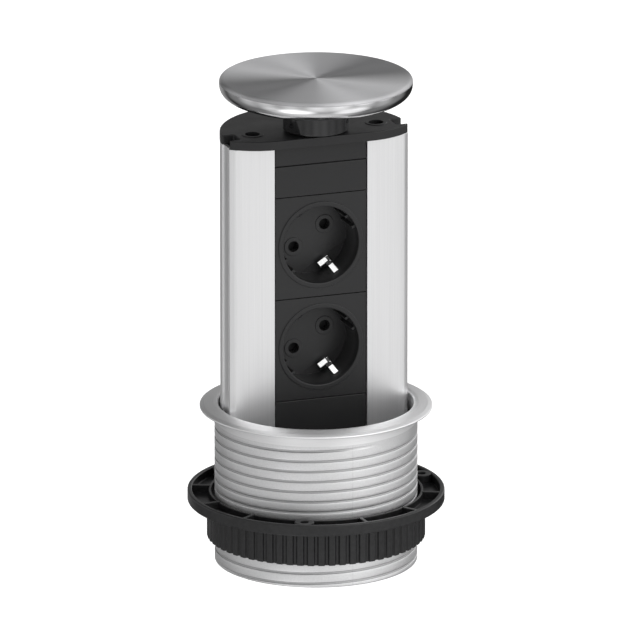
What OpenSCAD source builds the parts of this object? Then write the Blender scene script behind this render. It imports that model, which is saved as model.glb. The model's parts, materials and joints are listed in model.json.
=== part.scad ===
// Pop up desk socket. A tower with two earthed sockets is pulled up out of a
// threaded barrel, which a flange and a clamp nut hold in a round hole in a worktop.
// The origin is on the barrel axis, level with the top of the worktop.
// +Z is up and the sockets face -Y.

/* [Barrel and flange] */
// Outside diameter of the barrel over its thread
barrel_d = 99.8; // [99:0.1:100]
// Inside diameter of the barrel, across its flats
barrel_in_d = 95.8; // [95.6:0.1:96]
// Length of the barrel below the worktop's top face
barrel_len = 78.2; // [76:0.1:84]
// Rise of the barrel thread for each turn
pitch = 5.2; // [4.8:0.1:5.6]
// Depth of the thread groove
groove_depth = 0.6; // [0.5:0.1:0.8]
// Outside diameter of the flange
flange_d = 114.4; // [110:0.2:120]
// Thickness of the flange
flange_h = 2.6; // [2.2:0.1:3.2]

/* [Clamp] */
// Thickness of the worktop that the clamp is set to
worktop_h = 42; // [30:0.5:48]
// Outside diameter of the clamp ring
ring_d = 126.6; // [124:0.2:130]
// Height of the clamp ring
ring_h = 5.7; // [5:0.1:7]
// Pitch circle of the three screw bosses
ring_pcd = 114; // [112:1:116]
// Radius of the screw holes in the bosses
ring_hole_r = 2.1; // [1.6:0.1:2.4]
// Diameter of the nut over its flutes
nut_d = 107.6; // [107:0.2:110]
// Height of the nut
nut_h = 18; // [16:0.1:20]
// Number of flutes on the nut
flutes = 64; // [40:4:72]

/* [Tower] */
// Outside diameter of the tower
tower_d = 94; // [93.4:0.1:94]
// Height of the tower's shoulder above the worktop
shoulder_z = 136.2; // [136:0.1:140]
// Distance of the wings' flat front from the axis
wing_y = 7.5; // [7.2:0.1:8]
// Distance of the top plate's front edge from the axis
plate_y = 12.9; // [12:0.1:13.4]
// Wall thickness of the tower profile
wall = 2; // [1.8:0.1:2.2]
// Width of the front inserts
panel_w = 47.2; // [46.8:0.1:47.4]
// Width of the rail slot on each side
slot_w = 9.7; // [9.5:0.1:10]
// Thickness of the top plate
plate_h = 4.5; // [4:0.1:5]

/* [Sockets] */
// Radius of a socket's recess
recess_r = 19.5; // [19.3:0.1:19.6]
// Depth of a socket's recess
recess_h = 17.5; // [17:0.1:18]
// Distance between the two contact holes
pin_gap = 19; // [18.8:0.1:19.2]
// Radius of a contact hole
pin_hole_r = 2.7; // [2.6:0.1:2.9]
// Tilt of the socket's contact line
tilt = 32; // [0:1:45]
// Height of the upper socket's centre
upper_z = 84.3; // [84.2:0.1:84.5]
// Height of the lower socket's centre
lower_z = 32.4; // [32.2:0.1:32.4]

/* [Cap] */
// Widest diameter of the cap
cap_d = 94.7; // [94:0.1:95.4]
// Height of the cap's flat top
cap_top_z = 167.4; // [167:0.1:170]
// Depth of the cap's bowl
bowl_h = 9.5; // [9:0.1:10]
// Radius of the neck under the cap
neck_r = 16.1; // [14:0.1:17]

/* [Hidden] */
$fn = 96;

barrel_r = barrel_d / 2;
barrel_bot = -barrel_len;
barrel_top = -6;                 // the flange ring's collar ends here
bore_r = barrel_in_d / 2;
flange_in_r = bore_r + 0.2;
ring_top = -worktop_h;
ring_bot = ring_top - ring_h;
nut_top = ring_bot - 0.1;
thread_z0 = -6.8;                // height of the groove's centre at angle 0
tower_r = tower_d / 2;
tower_bot = -71;
panel_y = -(wing_y - 0.5);
flat_half = 25;                  // half width of the flat front
corner_r = 150;                  // radius of the wings' curve
plate_flat = 24;                 // half width of the straight part of the top plate's front
plate_corner = 33;               // radius of the top plate's front corners
slot_y = 1;                      // middle of the rail slot
slot_face = 45.8;                // floor of the profile's shallow side slot
slot_in = 37.8;                  // bottom of the narrow groove along the slot's front side
groove_w = 2.9;                  // width of that groove
notch_in = 40.2;                 // depth that the top plate's notch reaches
screw_x = 32;
screw_y = 2.6;
travel = 161;
insert_t = 2.5;
floor_y = panel_y + recess_h;    // floor of a socket's recess
floor_t = 4.4;                   // thickness of that floor
block_y = floor_y + floor_t + 2.2; // front of a contact block
block_h = 17.9;
rim_z = cap_top_z - 3;             // the bowl's curve starts here
seam_z = cap_top_z - 1.8;        // the disc lies on the bowl's edge
steel = [0.72, 0.72, 0.73];
alu = [0.80, 0.80, 0.81];
black = [0.13, 0.13, 0.14];
brass = [0.78, 0.62, 0.30];

// ---------- shared shapes ----------

// D-shaped outline: round behind, flat in front, with long rounded corners
module d_outline(r, front, corner, flat = flat_half) {
    intersection() {
        circle(r = r);
        union() {
            translate([-flat, -front]) square([2 * flat, 2 * r]);
            for (s = [-1, 1]) translate([s * flat, corner - front]) circle(r = corner);
        }
    }
}

// Outline of the tower: its outer corners keep inside the top plate's
module tower_outline(r) {
    intersection() {
        d_outline(r, wing_y, corner_r);
        d_outline(r, plate_y - 0.2, plate_corner, plate_flat);
    }
}

module ring_of(r_in, r_out, z0, z1) {
    translate([0, 0, z0]) difference() {
        cylinder(r = r_out, h = z1 - z0);
        translate([0, 0, -1]) cylinder(r = r_in, h = z1 - z0 + 2);
    }
}

// A piece of a ring, w wide, whose middle is at the angle a
module ring_piece(r_in, r_out, z0, z1, a, w) {
    rotate([0, 0, a]) intersection() {
        ring_of(r_in, r_out, z0, z1);
        translate([r_in / 2, -w / 2, z0 - 1]) cube([r_out, w, z1 - z0 + 2]);
    }
}

// A cylinder that runs from y0 to y1 along Y
module ycyl(r, y0, y1) {
    translate([0, y0, 0]) rotate([-90, 0, 0]) cylinder(r = r, h = y1 - y0);
}

// Puts its children at both ends of the contact line of a socket at height z
module at_pins(z) {
    for (s = [-1, 1])
        translate([s * pin_gap / 2 * cos(tilt), 0, z + s * pin_gap / 2 * sin(tilt)]) children();
}

// Turns its children about Y, so that +X points at angle a above +X, at height z
module turned(z, a) {
    translate([0, 0, z]) rotate([0, -a, 0]) children();
}

// A screw along Z: head of radius hr and height hh under the origin, shank below it
module screw(hr, hh, sr, sl) {
    translate([0, 0, -hh]) difference() {
        cylinder(r = hr, h = hh);
        translate([-hr - 1, -0.4, hh - 0.8]) cube([2 * hr + 2, 0.8, 2]);
    }
    translate([0, 0, -hh - sl]) cylinder(r = sr, h = sl + 0.1);
}

// ---------- flange and barrel ----------

module flange_ring() {
    fr = flange_d / 2;
    color(alu) rotate_extrude() polygon([
        [flange_in_r, barrel_top], [barrel_r, barrel_top], [barrel_r, 0], [51.4, 0], [51.4, 0.8],
        [fr - 1, 0.8], [fr - 1, 0], [fr - 0.4, 0], [fr, 0.4], [fr, 0.9], [fr - 0.5, 1.2],
        [fr - 2.2, flange_h - 0.75], [fr - 4.7, flange_h - 0.3], [50.4, flange_h],
        [flange_in_r + 0.7, flange_h], [flange_in_r, flange_h - 0.7]]);
}

module flange_gasket() {
    color([0.2, 0.2, 0.2]) ring_of(51.4, flange_d / 2 - 1, 0, 0.8);
}

// The barrel is one closed mesh. Its rows follow the helix of the groove, so a row at
// the last column joins the row one turn higher at the first column.
cols = 48;
groove = [[-0.8, 0], [-0.45, 1], [0.45, 1], [0.8, 0]]; // offset from the groove's centre, share of depth
turn_lo = -16;
turn_hi = 2;
rows = 4 * (turn_hi - turn_lo + 1);
thread_lo = barrel_bot + 0.7;
function raw_z(i, j) = thread_z0 + pitch * (turn_lo + floor(i / 4) + j / cols) + groove[i % 4][0];
function held(z) = min(max(z, thread_lo), barrel_top);
function fade(z) = min(1, max(0, (z - thread_lo) / 0.8)) * min(1, max(0, (barrel_top - z) / 1.2));
function at(r, j, z) = [r * cos(360 * j / cols), r * sin(360 * j / cols), z];
function skin(i, j) = let (z = held(raw_z(i, j)))
    at(barrel_r - groove_depth * groove[i % 4][1] * fade(z), j, z);
bore_v = bore_r / cos(180 / cols);
barrel_pts = concat(
    [for (i = [0:rows - 1], j = [0:cols - 1]) skin(i, j)],
    [for (j = [0:cols - 1]) at(bore_v, j, barrel_top)],
    [for (j = [0:cols - 1]) at(bore_v, j, barrel_bot)],
    [for (j = [0:cols - 1]) at(barrel_r - 0.7, j, barrel_bot)]);
function next(i, j) = j < cols - 1 ? i * cols + j + 1 : min(i + 4, rows - 1) * cols;
function step(i, j) = (j + 1) % cols + i * cols;
function tri(a, b, c) = let (p = barrel_pts[a], q = barrel_pts[b], s = barrel_pts[c])
    (p == q || q == s || s == p) ? [] : [[a, b, c]];
barrel_faces = concat(
    [for (i = [0:rows - 2], j = [0:cols - 1])
        each tri(i * cols + j, (i + 1) * cols + j, next(i + 1, j))],
    [for (i = [0:rows - 2], j = [0:cols - 1])
        each tri(i * cols + j, next(i + 1, j), next(i, j))],
    // the top face, the bore, the bottom face and the bottom chamfer
    [for (k = [0:3], j = [0:cols - 1]) let (a = rows - 1 + k, b = k == 3 ? 0 : rows + k)
        each tri(a * cols + j, b * cols + j, step(b, j))],
    [for (k = [0:3], j = [0:cols - 1]) let (a = rows - 1 + k, b = k == 3 ? 0 : rows + k)
        each tri(a * cols + j, step(b, j), step(a, j))]);

module threaded_barrel() {
    color(alu) polyhedron(points = barrel_pts, faces = barrel_faces);
}

// Two rails that ride in the tower's slots, each a flat foot with a web in the groove.
// The web's shoulder stops the top plate when the tower is down, and the rail's lower
// end stops the bottom plate when it is up.
module rail_block(s, x, w, z1) {
    translate([s > 0 ? x : -60, slot_y - slot_w / 2 + 0.3, tower_bot + 0.4])
        cube([60 - x, w, z1 - tower_bot - 0.4]);
}
module guide_rails() {
    color(black) for (s = [-1, 1]) intersection() {
        translate([0, 0, -80]) cylinder(r = bore_r + 0.03, h = 80);
        union() {
            rail_block(s, slot_face + 0.3, slot_w - 0.6, barrel_top);
            rail_block(s, slot_in + 0.6, groove_w - 0.6, shoulder_z - travel - 0.3);
            rail_block(s, notch_in + 0.6, groove_w - 0.6, barrel_top);
        }
    }
}

module friction_pads() {
    color([0.3, 0.3, 0.3]) for (a = [50, 90, 130])
        ring_piece(tower_r + 0.2, bore_r + 0.03, -34, -14, a, 10);
}

// ---------- clamp ----------

module clamp_ring() {
    rr = ring_d / 2;
    color(black) difference() {
        union() {
            rotate_extrude() polygon([
                [51.6, ring_bot], [rr, ring_bot], [rr, ring_top], [rr - 2.3, ring_top],
                [rr - 2.3, ring_bot + 1.5], [52.8, ring_bot + 1.5],
                [52.8, ring_top - 0.8], [51.6, ring_top - 0.8]]);
            for (k = [0:11]) rotate([0, 0, 4.5 + 30 * k])
                if (k % 4 == 0) translate([ring_pcd / 2, 0, ring_bot]) cylinder(r = 4.8, h = ring_h);
                else translate([52.2, -0.9, ring_bot + 0.5]) cube([rr - 53.5, 1.8, ring_h - 1]);
        }
        for (k = [0:2]) rotate([0, 0, 4.5 + 120 * k])
            translate([ring_pcd / 2, 0, ring_bot - 1]) cylinder(r = ring_hole_r, h = ring_h + 2);
        rotate([0, 0, 179]) translate([56.5, 0, ring_bot - 1]) cylinder(r = 1.3, h = 4);
    }
}

// The nut's thread is moulded as short lugs that follow the barrel's groove
module clamp_nut() {
    ro = nut_d / 2;
    u = 360 / flutes;
    color(black) union() {
        translate([0, 0, nut_top - nut_h]) difference() {
            linear_extrude(nut_h) polygon([for (k = [0:flutes - 1], p = [[-0.28, 0], [0.28, 0], [0.38, 1.1], [0.62, 1.1]])
                (ro - p[1]) * [cos(u * (k + p[0])), sin(u * (k + p[0]))]]);
            translate([0, 0, -1]) cylinder(r = barrel_r + 0.3, h = nut_h + 2);
        }
        for (n = [-10, -9], a = [0:60:300])
            translate([0, 0, thread_z0 + pitch * (n + a / 360)])
                ring_piece(barrel_r - groove_depth + 0.3, barrel_r + 0.8, -0.4, 0.4, a, 8);
    }
}

// ---------- tower ----------

module profile_2d() {
    difference() {
        union() {
            difference() {
                tower_outline(tower_r);
                d_outline(tower_r - wall, wing_y - wall, corner_r - wall);
            }
            intersection() {
                tower_outline(tower_r);
                union() for (s = [-1, 1]) {
                    translate([s * (slot_in + 4), slot_y - slot_w / 2 + groove_w / 2])
                        square([11, groove_w + 3], center = true);
                    translate([s * (slot_face + 0.1), slot_y]) square([4, slot_w + 3], center = true);
                }
            }
            for (s = [-1, 1]) {
                translate([s * screw_x, screw_y]) circle(r = 3.4);
                translate([s * (screw_x + 4), screw_y]) square([4, 3], center = true);
                translate([s * (panel_w / 2 + 1.15), -wing_y + 3.3]) square([1.5, 6], center = true);
            }
        }
        for (s = [-1, 1]) {
            translate([s * (slot_face + 10), slot_y]) square([20, slot_w], center = true);
            translate([s * (slot_in + 10), slot_y - slot_w / 2 + groove_w / 2])
                square([20, groove_w], center = true);
            translate([s * screw_x, screw_y]) circle(r = 1.35);
        }
        translate([-panel_w / 2 - 0.4, -wing_y - 1]) square([panel_w + 0.8, 8]);
    }
}

module tower_profile() {
    color(alu) translate([0, 0, tower_bot]) linear_extrude(shoulder_z - tower_bot) profile_2d();
}

module top_plate() {
    color(black) translate([0, 0, shoulder_z]) difference() {
        union() {
            linear_extrude(plate_h) d_outline(tower_r + 0.1, plate_y, plate_corner, plate_flat);
            for (s = [-1, 1]) translate([s * screw_x, screw_y, 0]) cylinder(r = 5.4, h = plate_h + 0.3);
        }
        for (s = [-1, 1]) {
            translate([s * (notch_in + 10), slot_y, plate_h / 2]) cube([20, slot_w, plate_h + 2], center = true);
            translate([s * screw_x, screw_y, -1]) cylinder(r = 1.5, h = 10);
            translate([s * screw_x, screw_y, 1.2]) cylinder(r = 3.7, h = 10);
        }
        translate([0, 0, -1]) cylinder(r = 2.6, h = 10);
    }
}

module top_plate_screws() {
    color(steel) for (s = [-1, 1])
        translate([s * screw_x, screw_y, shoulder_z + 2.9]) screw(3.4, 1.7, 1.3, 11);
}

module bottom_plate() {
    color(black) translate([0, 0, tower_bot - 4]) difference() {
        linear_extrude(4) tower_outline(tower_r - 0.2);
        for (s = [-1, 1]) {
            translate([s * screw_x, screw_y, -1]) cylinder(r = 1.5, h = 10);
            translate([s * screw_x, screw_y, -1]) cylinder(r = 2.4, h = 3);
        }
        translate([0, 18, -1]) cylinder(r = 8.05, h = 10);
    }
}

module bottom_plate_screws() {
    color(steel) for (s = [-1, 1])
        translate([s * screw_x, screw_y, tower_bot - 3.5]) rotate([180, 0, 0]) screw(2.2, 1.5, 1.3, 11);
}

module cable_gland() {
    color(black) translate([0, 18, tower_bot - 4]) difference() {
        union() {
            cylinder(r = 8, h = 10);
            translate([0, 0, -4]) cylinder(r = 11, h = 4, $fn = 6);
            translate([0, 0, -9]) cylinder(r = 8.6, h = 5.5);
        }
        translate([0, 0, -10]) cylinder(r = 4.25, h = 30);
    }
}

module gland_nut() {
    color(black) translate([0, 18, tower_bot]) difference() {
        cylinder(r = 11, h = 4, $fn = 6);
        translate([0, 0, -1]) cylinder(r = 8.05, h = 6);
    }
}

// ---------- cap ----------

// How far the bowl hangs under the rim at radius r
function bowl_drop(r) = bowl_h * pow(1 - pow(2 * r / cap_d, 6), 0.45);
seat_r = neck_r + 0.6;
bowl_rs = [seat_r, 20, 24, 28, 31, 34, 36.5, 39, 41, 42.7, 44.2, 45.4, 46.3, 46.9, 47.2];

module cap_disc() {
    cr = cap_d / 2;
    color(steel) rotate_extrude() polygon([
        [0, seam_z], [cr, seam_z], [cr, cap_top_z - 1.5], [cr - 0.25, cap_top_z - 0.9],
        [cr - 0.7, cap_top_z - 0.4], [cr - 1.5, cap_top_z - 0.1], [cr - 2.3, cap_top_z], [0, cap_top_z]]);
}

module cap_bowl() {
    cr = cap_d / 2;
    color(steel) rotate_extrude() polygon(concat(
        [[2.6, rim_z - bowl_drop(seat_r)]],
        [for (r = bowl_rs) [r, rim_z - bowl_drop(r)]],
        [[cr, rim_z], [cr, seam_z], [cr - 2, seam_z], [cr - 2, rim_z]],
        [for (k = [10:-1:0]) [bowl_rs[k] - 0.3, rim_z - bowl_drop(bowl_rs[k]) + 1.6]],
        [[2.6, rim_z - bowl_drop(seat_r) + 1.6]]));
}

neck_top = rim_z - bowl_drop(seat_r);
module cap_neck() {
    z0 = shoulder_z + plate_h;
    color(black) difference() {
        union() {
            translate([0, 0, z0]) cylinder(r = neck_r - 3.5, h = 2);
            translate([0, 0, z0 + 1]) cylinder(r = neck_r, h = neck_top - z0 - 1);
        }
        translate([0, 0, z0 - 1]) cylinder(r = 2.6, h = 20);
    }
}

module cap_bolt() {
    color(steel) {
        translate([0, 0, shoulder_z - 3]) cylinder(r = 4.4, h = 3, $fn = 6);
        translate([0, 0, shoulder_z - 0.1]) cylinder(r = 2.5, h = neck_top + 6.5 - shoulder_z);
    }
}

module cap_nut() {
    color(steel) translate([0, 0, neck_top + 1.6]) difference() {
        cylinder(r = 4.6, h = 4, $fn = 6);
        translate([0, 0, -1]) cylinder(r = 2.55, h = 6);
    }
}

// ---------- front inserts ----------

// A front insert from z0 to z1: face, side walls and a snap bead behind each lip
module insert(z0, z1) {
    h = z1 - z0;
    translate([-panel_w / 2, panel_y, z0]) cube([panel_w, insert_t, h]);
    for (s = [-1, 1]) {
        translate([s > 0 ? panel_w / 2 - 1.8 : -panel_w / 2, panel_y + 1, z0]) cube([1.8, 9, h]);
        translate([s > 0 ? panel_w / 2 - 1 : -panel_w / 2 - 1, -wing_y + 7, z0 + 1])
            cube([2, 1.6, h - 2]);
    }
}

module cover_strip() { color(black) insert(125.9, shoulder_z - 0.1); }
module upper_blank() { color(black) insert(109.9, 125.6); }
module lower_blank() { color(black) insert(tower_bot + 0.1, 5.8); }

module socket_body(zc) {
    difference() {
        union() {
            difference() {
                union() {
                    insert(zc - 26.3, zc + 25.3);
                    translate([0, 0, zc]) {
                        ycyl(22, panel_y - 0.6, panel_y + 1);
                        ycyl(recess_r + 1.6, panel_y + 0.2, floor_y + floor_t);
                    }
                }
                translate([0, 0, zc]) ycyl(recess_r, panel_y - 2, floor_y + 0.8);
            }
            // a low collar round each contact hole
            translate([0, floor_y, 0]) at_pins(zc) ycyl(4.7, -0.4, 0.5);
            // the middle of the floor stands higher than its two ends
            intersection() {
                translate([0, 0, zc]) ycyl(recess_r + 0.8, floor_y, floor_y + 1.5);
                turned(zc, tilt + 90) translate([-13.8, floor_y - 1, -25]) cube([27.6, 4, 50]);
            }
            // guide ribs on both sides of the contact line
            turned(zc, tilt) for (s = [-1, 1], t = [-1, 1])
                translate([s * 18.95 - 1.35, panel_y + 1.2, t * 3.3 - 0.7]) cube([2.7, recess_h - 0.6, 1.4]);
        }
        // a slot for each earth clip
        turned(zc, tilt + 90) for (s = [-1, 1])
            translate([s * 18 - 0.9, floor_y - 1, -2.8]) cube([1.8, floor_t + 3, 5.6]);
        translate([0, floor_y, 0]) at_pins(zc) ycyl(pin_hole_r, -1, floor_t + 2);
    }
}
module upper_socket() { color(black) socket_body(upper_z); }
module lower_socket() { color(black) socket_body(lower_z); }

// ---------- inside the sockets ----------

module contact_block(zc) {
    difference() {
        translate([0, 0, zc]) union() {
            ycyl(16.5, block_y, block_y + block_h);
            ycyl(2, block_y - 2.15, block_y + 1);
            difference() {
                ycyl(16.5, block_y - 2.2, block_y + 1);
                ycyl(14.7, block_y - 3.2, block_y + 2);
            }
        }
        at_pins(zc) ycyl(2.9, block_y - 1, block_y + block_h + 1);
        // seat of the shutter spring
        translate([0, 0, zc]) difference() {
            ycyl(5, block_y - 1, block_y + 1);
            ycyl(2, block_y - 2, block_y + 2);
        }
    }
}
module upper_contact_block() { color([0.85, 0.84, 0.80]) contact_block(upper_z); }
module lower_contact_block() { color([0.85, 0.84, 0.80]) contact_block(lower_z); }

bar_y = block_y + block_h + 2.2;
module contact_sleeves() {
    color(brass) for (z = [upper_z, lower_z]) at_pins(z) difference() {
        ycyl(2.8, block_y + 0.2, bar_y);
        ycyl(2.42, block_y - 1, bar_y - 1);
    }
}

// A bent strip, t thick, along the points in the plane
module bent(pts, t) {
    for (k = [0:len(pts) - 2]) let (d = pts[k + 1] - pts[k], n = [-d[1], d[0]] * t / 2 / norm(d))
        polygon([pts[k] + n, pts[k] - n, pts[k + 1] - n, pts[k + 1] + n]);
    for (k = [1:len(pts) - 2]) translate(pts[k]) circle(r = t / 2, $fn = 24);
}

// One U-shaped strip for each socket. Each end comes up through the floor with a foot on it,
// carries a wide contact tongue, and goes on as a narrow tail that leans on the wall
strap_y = block_y + block_h + 0.4;
module earth_strap(zc) {
    y0 = floor_y;
    half = [[17.6, strap_y], [17.6, y0 + 0.6], [14.6, y0 + 0.6], [14.6, y0 - 0.2], [17.6, y0 - 0.2],
        [17.6, y0 - 0.9], [18.4, y0 - 0.9], [18.4, strap_y + 0.8]];
    turned(zc, tilt + 90) {
        translate([0, 0, -2.25]) linear_extrude(4.5)
            polygon(concat(half, [for (k = [len(half) - 1:-1:0]) [-half[k][0], half[k][1]]]));
        for (a = [0, 180]) rotate([0, a, 0]) {
            translate([0, 0, -4.4]) linear_extrude(4.8)
                bent([[18, y0 - 0.3], [18, y0 - 0.9], [13.5, y0 - 2.9], [15.4, y0 - 4.6]], 0.8);
            translate([0, 0, -1.6]) linear_extrude(2.7)
                bent([[15, y0 - 4.24], [15.4, y0 - 4.6], [15.5, y0 - 9.4], [18.7, y0 - 12.9]], 0.8);
        }
    }
}
module upper_earth_strap() { color(steel) earth_strap(upper_z); }
module lower_earth_strap() { color(steel) earth_strap(lower_z); }

// A disc that covers the contact holes until it is turned by 40 degrees
module shutter(zc) {
    difference() {
        translate([0, 0, zc]) ycyl(14.2, block_y - 1.9, block_y - 0.3);
        translate([0, 0, zc]) ycyl(2.06, block_y - 3, block_y + 1);
        turned(zc, tilt + 40) for (s = [-1, 1]) translate([s * pin_gap / 2, 0, 0])
            ycyl(2.8, block_y - 3, block_y + 1);
    }
}
module upper_shutter() { color([0.25, 0.25, 0.26]) shutter(upper_z); }
module lower_shutter() { color([0.25, 0.25, 0.26]) shutter(lower_z); }

module shutter_springs() {
    color(steel) for (z = [upper_z, lower_z]) translate([0, 0, z]) difference() {
        ycyl(4.6, block_y + 0.05, block_y + 1);
        ycyl(3.4, block_y - 1, block_y + 2);
    }
}

module bar(x, z0, z1) {
    translate([x - 2.5, bar_y, z0]) cube([5, 1, z1 - z0]);
}
module live_bar() { color(brass) bar(pin_gap / 2 * cos(tilt), -33, upper_z + 8.5); }
module neutral_bar() { color(brass) bar(-pin_gap / 2 * cos(tilt), -33, upper_z - 1.5); }
module earth_bar() {
    color(brass) {
        translate([-2, strap_y + 0.8, -33]) cube([4, 1, upper_z + 35]);
    }
}

module terminal_block() {
    color([0.85, 0.84, 0.80]) difference() {
        translate([-18, 24, -48]) cube([36, 17, 26]);
        for (x = [-pin_gap / 2 * cos(tilt), pin_gap / 2 * cos(tilt)]) {
            translate([x - 2.7, bar_y - 0.2, -34]) cube([5.4, 1.4, 20]);
            translate([x, 0, -28]) ycyl(1.75, 20, bar_y + 0.5);
            translate([x, bar_y + 0.5, -49]) cylinder(r = 2, h = 14);
        }
        translate([-2.2, strap_y + 0.6, -34]) cube([4.4, 1.4, 20]);
        translate([0, 0, -28]) ycyl(1.75, 20, strap_y + 1);
        translate([0, bar_y + 0.5, -49]) cylinder(r = 2, h = 14);
    }
}

module terminal_screws() {
    color(brass) for (x = [-1, 0, 1]) translate([x * pin_gap / 2 * cos(tilt), 0, -28])
        ycyl(1.7, 24.6, x == 0 ? strap_y + 0.8 : bar_y);
}

flange_ring();
flange_gasket();
threaded_barrel();
guide_rails();
friction_pads();
clamp_ring();
clamp_nut();
tower_profile();
top_plate();
top_plate_screws();
bottom_plate();
bottom_plate_screws();
cap_disc();
cap_bowl();
cap_neck();
cap_bolt();
cap_nut();
cover_strip();
upper_blank();
lower_blank();
upper_socket();
lower_socket();
upper_contact_block();
lower_contact_block();
contact_sleeves();
upper_earth_strap();
lower_earth_strap();
shutter_springs();
upper_shutter();
lower_shutter();
live_bar();
neutral_bar();
earth_bar();
terminal_block();
terminal_screws();
cable_gland();
gland_nut();
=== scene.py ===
import bpy, bmesh, math, json
from mathutils import Vector

# Looks of a pop up desk socket: a satin tower with two earthed sockets, a brushed
# mushroom cap, a threaded barrel with its flange, and the black clamp ring and nut.
# Lengths in the helpers below are millimetres; the meshes are in metres.
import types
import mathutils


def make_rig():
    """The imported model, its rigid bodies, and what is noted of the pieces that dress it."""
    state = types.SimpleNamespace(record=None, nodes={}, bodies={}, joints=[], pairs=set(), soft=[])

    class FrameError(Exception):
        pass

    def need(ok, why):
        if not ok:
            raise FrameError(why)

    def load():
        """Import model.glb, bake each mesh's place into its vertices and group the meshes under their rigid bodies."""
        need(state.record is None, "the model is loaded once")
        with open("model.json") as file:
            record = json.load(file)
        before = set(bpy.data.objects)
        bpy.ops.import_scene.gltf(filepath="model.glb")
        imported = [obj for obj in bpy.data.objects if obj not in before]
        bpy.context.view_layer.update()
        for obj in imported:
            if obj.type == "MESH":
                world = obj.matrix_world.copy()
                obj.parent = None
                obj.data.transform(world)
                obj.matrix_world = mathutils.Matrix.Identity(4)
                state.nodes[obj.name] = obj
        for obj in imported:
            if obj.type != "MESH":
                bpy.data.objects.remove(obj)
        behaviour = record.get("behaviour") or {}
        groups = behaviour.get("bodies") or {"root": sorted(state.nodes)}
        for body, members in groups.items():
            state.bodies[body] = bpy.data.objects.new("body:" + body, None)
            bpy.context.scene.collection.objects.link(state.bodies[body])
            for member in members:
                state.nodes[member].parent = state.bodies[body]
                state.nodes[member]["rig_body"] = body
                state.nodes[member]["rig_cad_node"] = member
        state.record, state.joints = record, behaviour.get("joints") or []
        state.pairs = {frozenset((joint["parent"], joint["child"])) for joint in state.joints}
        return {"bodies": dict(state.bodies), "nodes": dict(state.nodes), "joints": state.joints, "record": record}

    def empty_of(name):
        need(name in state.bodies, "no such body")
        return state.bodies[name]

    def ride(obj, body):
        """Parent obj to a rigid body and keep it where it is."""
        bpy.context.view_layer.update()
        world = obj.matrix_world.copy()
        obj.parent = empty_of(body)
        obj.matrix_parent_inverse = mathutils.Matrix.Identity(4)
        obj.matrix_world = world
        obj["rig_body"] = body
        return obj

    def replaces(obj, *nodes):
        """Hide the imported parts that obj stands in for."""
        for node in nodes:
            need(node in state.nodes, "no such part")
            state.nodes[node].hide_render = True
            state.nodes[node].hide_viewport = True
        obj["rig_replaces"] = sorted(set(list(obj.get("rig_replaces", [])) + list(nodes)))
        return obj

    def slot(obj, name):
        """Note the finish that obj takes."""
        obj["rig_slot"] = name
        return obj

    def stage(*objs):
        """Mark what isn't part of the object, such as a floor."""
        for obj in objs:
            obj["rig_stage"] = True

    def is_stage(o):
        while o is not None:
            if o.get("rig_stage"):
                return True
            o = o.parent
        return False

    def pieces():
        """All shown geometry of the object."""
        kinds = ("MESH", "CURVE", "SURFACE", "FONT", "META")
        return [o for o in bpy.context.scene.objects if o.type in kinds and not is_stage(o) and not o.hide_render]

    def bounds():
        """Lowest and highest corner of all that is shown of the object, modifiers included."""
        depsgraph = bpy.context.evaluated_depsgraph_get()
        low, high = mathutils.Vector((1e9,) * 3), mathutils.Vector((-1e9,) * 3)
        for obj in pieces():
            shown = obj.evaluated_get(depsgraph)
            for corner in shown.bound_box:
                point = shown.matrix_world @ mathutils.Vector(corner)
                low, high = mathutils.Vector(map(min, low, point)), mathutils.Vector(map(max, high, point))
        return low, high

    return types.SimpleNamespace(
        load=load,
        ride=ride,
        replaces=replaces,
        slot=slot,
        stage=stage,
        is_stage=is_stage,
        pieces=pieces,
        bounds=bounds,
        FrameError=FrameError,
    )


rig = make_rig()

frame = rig.load()
nodes = frame["nodes"]
cad_lo, cad_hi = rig.bounds()
rec = frame["record"]
BODY = {n: b for b, ns in rec["behaviour"]["bodies"].items() for n in ns}
SLOT = {s["node"]: s["material_slot"] for s in rec["subparts"]}
scene = bpy.context.scene
MM = 0.001

# ---------------------------------------------------------------- camera

AZ, EL, DIST = 19.8, 16.7, 7.0


def make_camera():
    az, el = math.radians(AZ), math.radians(EL)
    back = Vector((-math.sin(az) * math.cos(el), -math.cos(az) * math.cos(el), math.sin(el)))
    right = Vector((math.cos(az), -math.sin(az), 0))
    target = Vector((0, 0, 0.0438)) + right * 0.00196
    cam = bpy.data.cameras.new("camera")
    cam.sensor_width = 36
    cam.lens = DIST * 36 / 0.3137 * MM * 1000
    cam.clip_start, cam.clip_end = 0.5, 80
    ob = bpy.data.objects.new("camera", cam)
    ob.location = target + back * DIST
    ob.rotation_euler = (math.radians(90 - EL), 0, -az)
    scene.collection.objects.link(ob)
    scene.camera = ob


make_camera()

# ---------------------------------------------------------------- node graphs


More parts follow.
